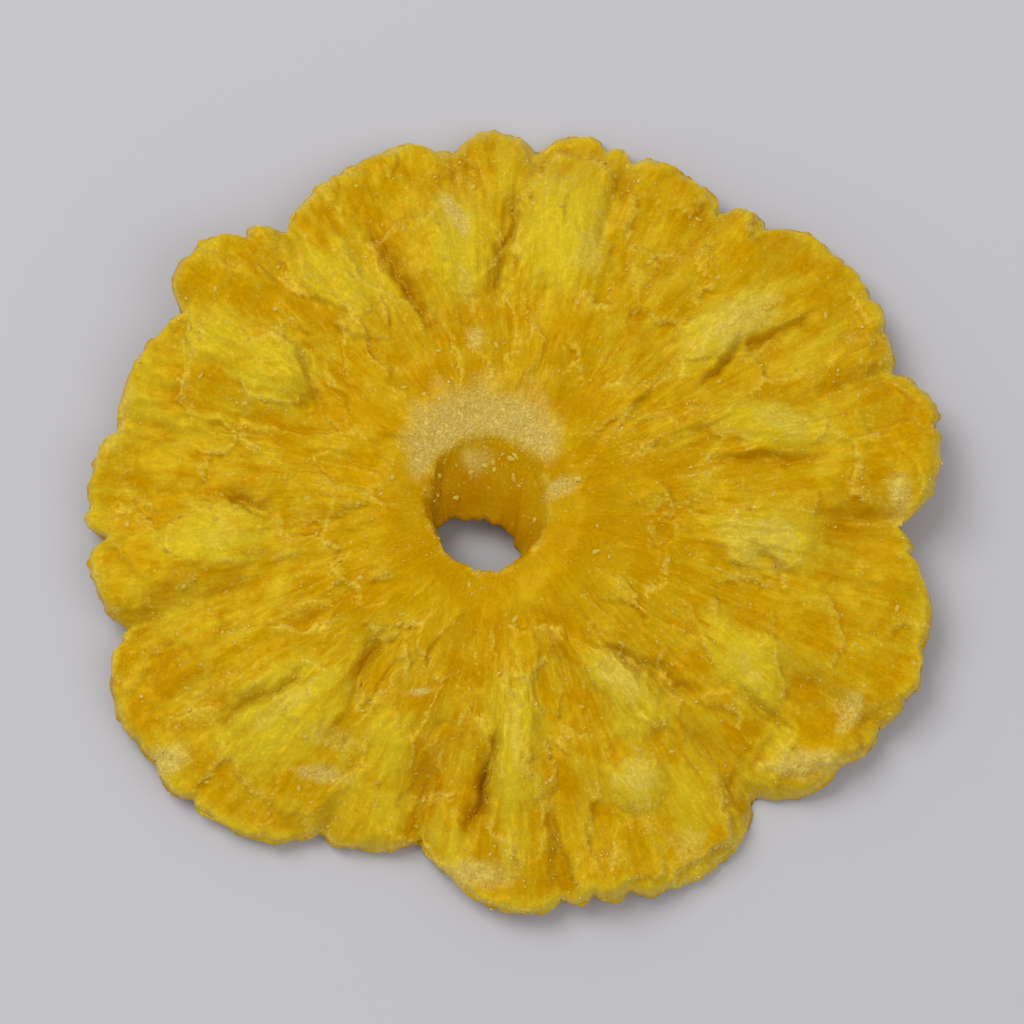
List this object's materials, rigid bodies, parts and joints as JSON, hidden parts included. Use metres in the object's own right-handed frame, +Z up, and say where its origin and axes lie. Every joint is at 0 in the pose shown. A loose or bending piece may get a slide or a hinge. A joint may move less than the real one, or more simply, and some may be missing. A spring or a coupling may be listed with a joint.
{
  "type": "dried pineapple ring",
  "caption": "Dried, sugared slice of pineapple: a curled ring with a lobed rim, cracked seed chambers and a slanting core hole.",
  "frame": {"origin": "centre of the ring's box, on the surface that it lies on", "axes": "+Z up through the ring's upper face, +X along its longest side, -Y towards the picture's lower edge"},
  "size_m": [0.087, 0.081, 0.0086],
  "materials": {
    "dried_flesh": "translucent amber-yellow dried flesh, slightly moist, with pale seed chambers and a dusting of sugar"
  },
  "bodies": {
    "root": {"pineapple_ring": "dried_flesh"}
  },
  "joints": []
}
